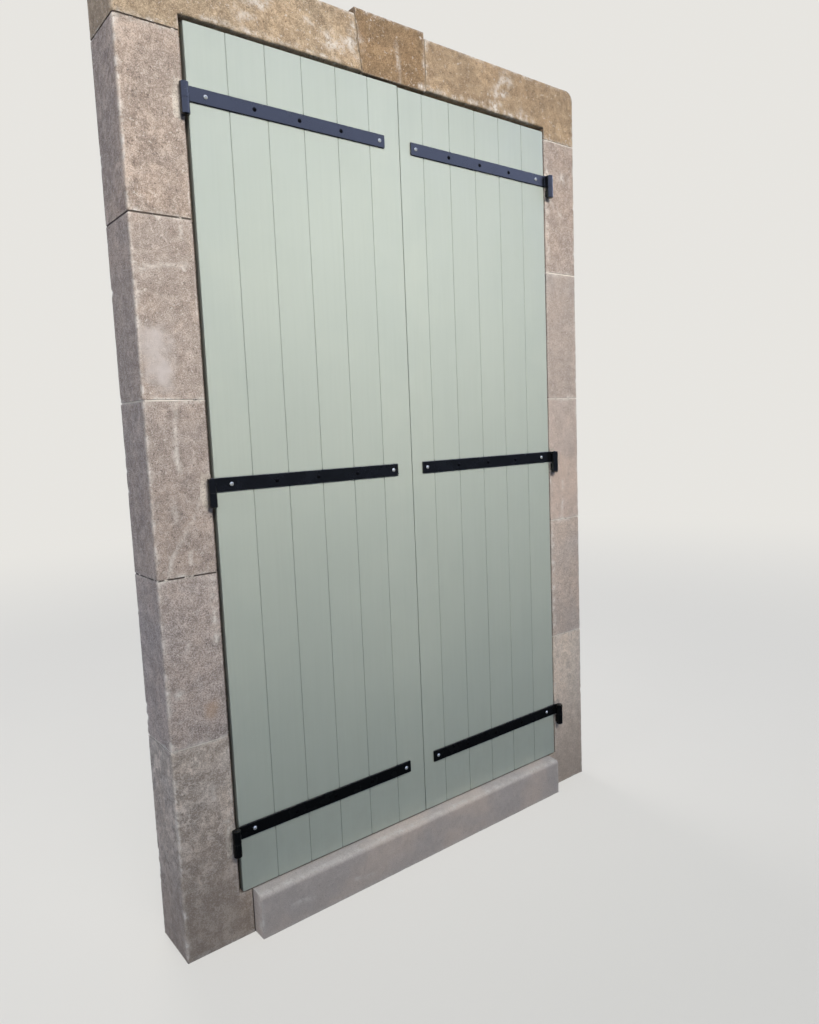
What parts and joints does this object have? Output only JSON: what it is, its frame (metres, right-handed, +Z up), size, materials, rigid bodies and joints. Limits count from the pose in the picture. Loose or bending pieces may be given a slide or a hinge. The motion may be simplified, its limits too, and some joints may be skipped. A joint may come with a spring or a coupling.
{
  "type": "window shutters",
  "caption": "Pair of boarded shutters on strap hinges in a rebated stone surround with a keystone lintel and a projecting sill, held shut by a turning rod with a lever.",
  "frame": {"origin": "foot of the surround, in the middle of the opening's width, in the plane of the stone's front face", "axes": "+Z up, +Y from the street into the wall, +X to the right when seen from the street"},
  "size_m": [1.728, 0.23, 2.732],
  "materials": {
    "surround_stone": "weathered dressed limestone",
    "mortar": "sandy lime mortar",
    "leaf_boards": "satin sage paint",
    "leaf_ledges": "satin sage paint",
    "hinge_ironwork": "satin black powder coat",
    "rod_ironwork": "satin black powder coat",
    "black_screws": "satin black",
    "zinc_bolts": "bright zinc",
    "wood_screws": "passivated zinc"
  },
  "bodies": {
    "frame": {"left_jamb_stone_1": "surround_stone", "left_jamb_stone_2": "surround_stone", "left_jamb_stone_3": "surround_stone", "left_jamb_stone_4": "surround_stone", "left_jamb_stone_5": "surround_stone", "left_pintle_bottom": "hinge_ironwork", "left_pintle_middle": "hinge_ironwork", "left_pintle_top": "hinge_ironwork", "lintel_keystone": "surround_stone", "lintel_left": "surround_stone", "lintel_right": "surround_stone", "mortar_joints": "mortar", "pintle_grout": "mortar", "right_jamb_stone_1": "surround_stone", "right_jamb_stone_2": "surround_stone", "right_jamb_stone_3": "surround_stone", "right_jamb_stone_4": "surround_stone", "right_jamb_stone_5": "surround_stone", "right_pintle_bottom": "hinge_ironwork", "right_pintle_middle": "hinge_ironwork", "right_pintle_top": "hinge_ironwork", "rod_keepers": "rod_ironwork", "sill": "surround_stone"},
    "left_leaf": {"left_board_1": "leaf_boards", "left_board_2": "leaf_boards", "left_board_3": "leaf_boards", "left_board_4": "leaf_boards", "left_board_5": "leaf_boards", "left_board_6": "leaf_boards", "left_bolt_nuts": "zinc_bolts", "left_ledge_bottom": "leaf_ledges", "left_ledge_middle": "leaf_ledges", "left_ledge_screws": "wood_screws", "left_ledge_top": "leaf_ledges", "left_strap_bolts": "zinc_bolts", "left_strap_bottom": "hinge_ironwork", "left_strap_middle": "hinge_ironwork", "left_strap_screws": "black_screws", "left_strap_top": "hinge_ironwork", "rod_collars": "rod_ironwork"},
    "right_leaf": {"handle_rest": "rod_ironwork", "right_board_1": "leaf_boards", "right_board_2": "leaf_boards", "right_board_3": "leaf_boards", "right_board_4": "leaf_boards", "right_board_5": "leaf_boards", "right_board_6": "leaf_boards", "right_bolt_nuts": "zinc_bolts", "right_ledge_bottom": "leaf_ledges", "right_ledge_middle": "leaf_ledges", "right_ledge_screws": "wood_screws", "right_ledge_top": "leaf_ledges", "right_strap_bolts": "zinc_bolts", "right_strap_bottom": "hinge_ironwork", "right_strap_middle": "hinge_ironwork", "right_strap_screws": "black_screws", "right_strap_top": "hinge_ironwork"},
    "locking_rod": {"handle_pin": "rod_ironwork", "locking_rod": "rod_ironwork"},
    "rod_handle": {"rod_handle": "rod_ironwork"}
  },
  "joints": [
    {"name": "left_leaf_hinge", "type": "hinge", "parent": "frame", "child": "left_leaf", "pos_m": [-0.7, -0.016, 1.338], "axis": [0, 0, -1], "range_deg": [0, 180]},
    {"name": "right_leaf_hinge", "type": "hinge", "parent": "frame", "child": "right_leaf", "pos_m": [0.706, -0.016, 1.338], "axis": [0, 0, 1], "range_deg": [0, 180]},
    {"name": "rod_turn", "type": "hinge", "parent": "left_leaf", "child": "locking_rod", "pos_m": [-0.04, 0.066, 1.338], "axis": [0, 0, -1], "range_deg": [0, 90]},
    {"name": "handle_lift", "type": "hinge", "parent": "locking_rod", "child": "rod_handle", "pos_m": [-0.04, 0.085, 1.1], "axis": [1, 0, 0], "range_deg": [0, 90]}
  ]
}
